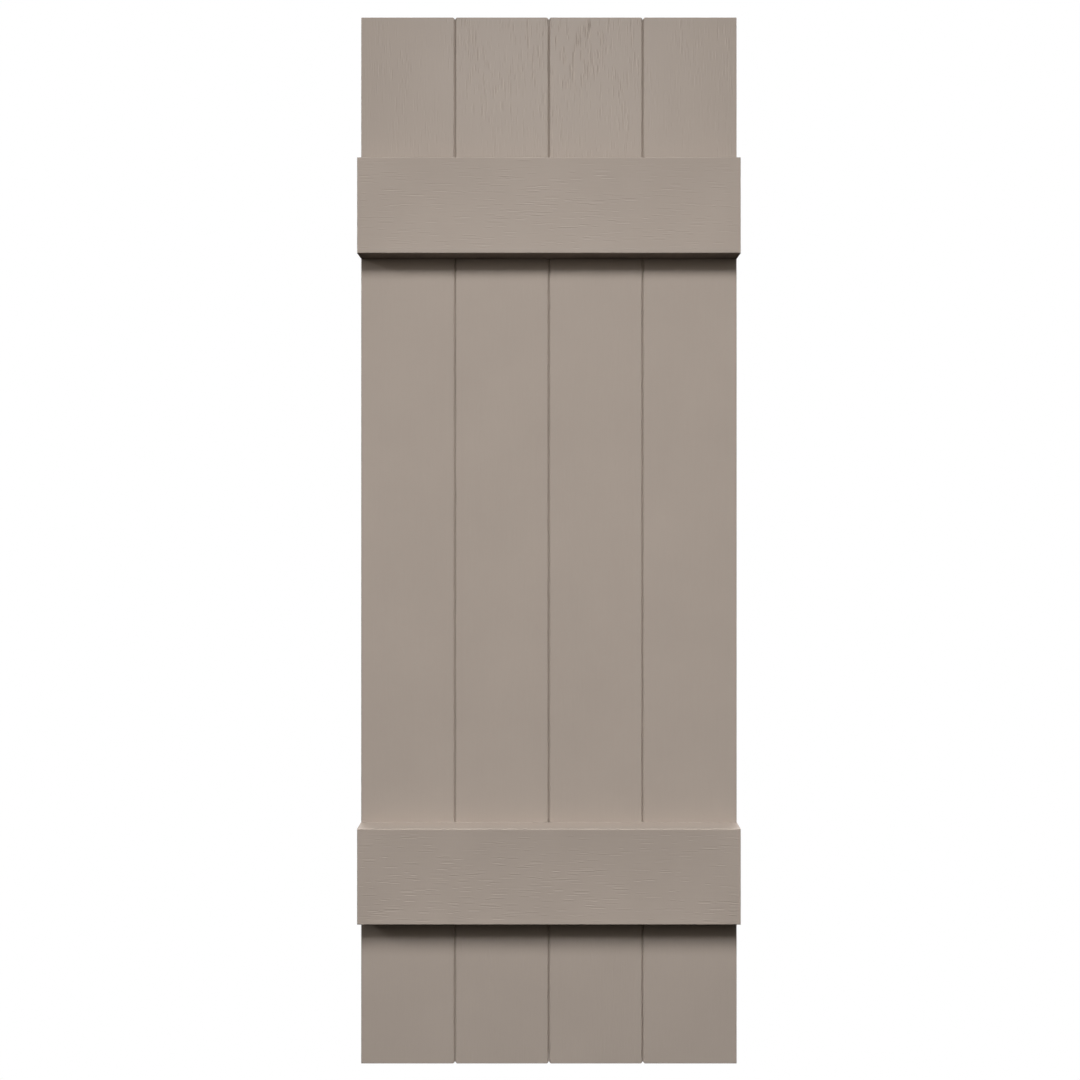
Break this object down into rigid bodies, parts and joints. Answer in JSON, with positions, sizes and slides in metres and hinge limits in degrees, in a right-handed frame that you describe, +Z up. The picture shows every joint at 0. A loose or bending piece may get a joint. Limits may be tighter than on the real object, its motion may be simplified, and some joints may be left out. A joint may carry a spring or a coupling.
{
  "type": "board and batten shutter",
  "caption": "Fixed decorative window shutter: upright vee-grooved boards with open ribbed backs, lapped edge to edge, under hollow battens that cross their faces",
  "frame": {"origin": "middle of the flat back plane that lies against the wall, halfway up and halfway across", "axes": "+Z up the boards; +Y into the wall; +X to the right as seen from the front, which faces -Y"},
  "size_m": [0.3556, 0.0381, 0.9906],
  "materials": {
    "board_plastic": "satin, moulded-through taupe with embossed upright wood grain",
    "batten_plastic": "satin, moulded-through taupe with embossed level wood grain",
    "screw_steel": "zinc-plated"
  },
  "bodies": {
    "root": {"board_1": "board_plastic", "board_2": "board_plastic", "board_3": "board_plastic", "board_4": "board_plastic", "upper_batten": "batten_plastic", "lower_batten": "batten_plastic"}
  },
  "joints": []
}
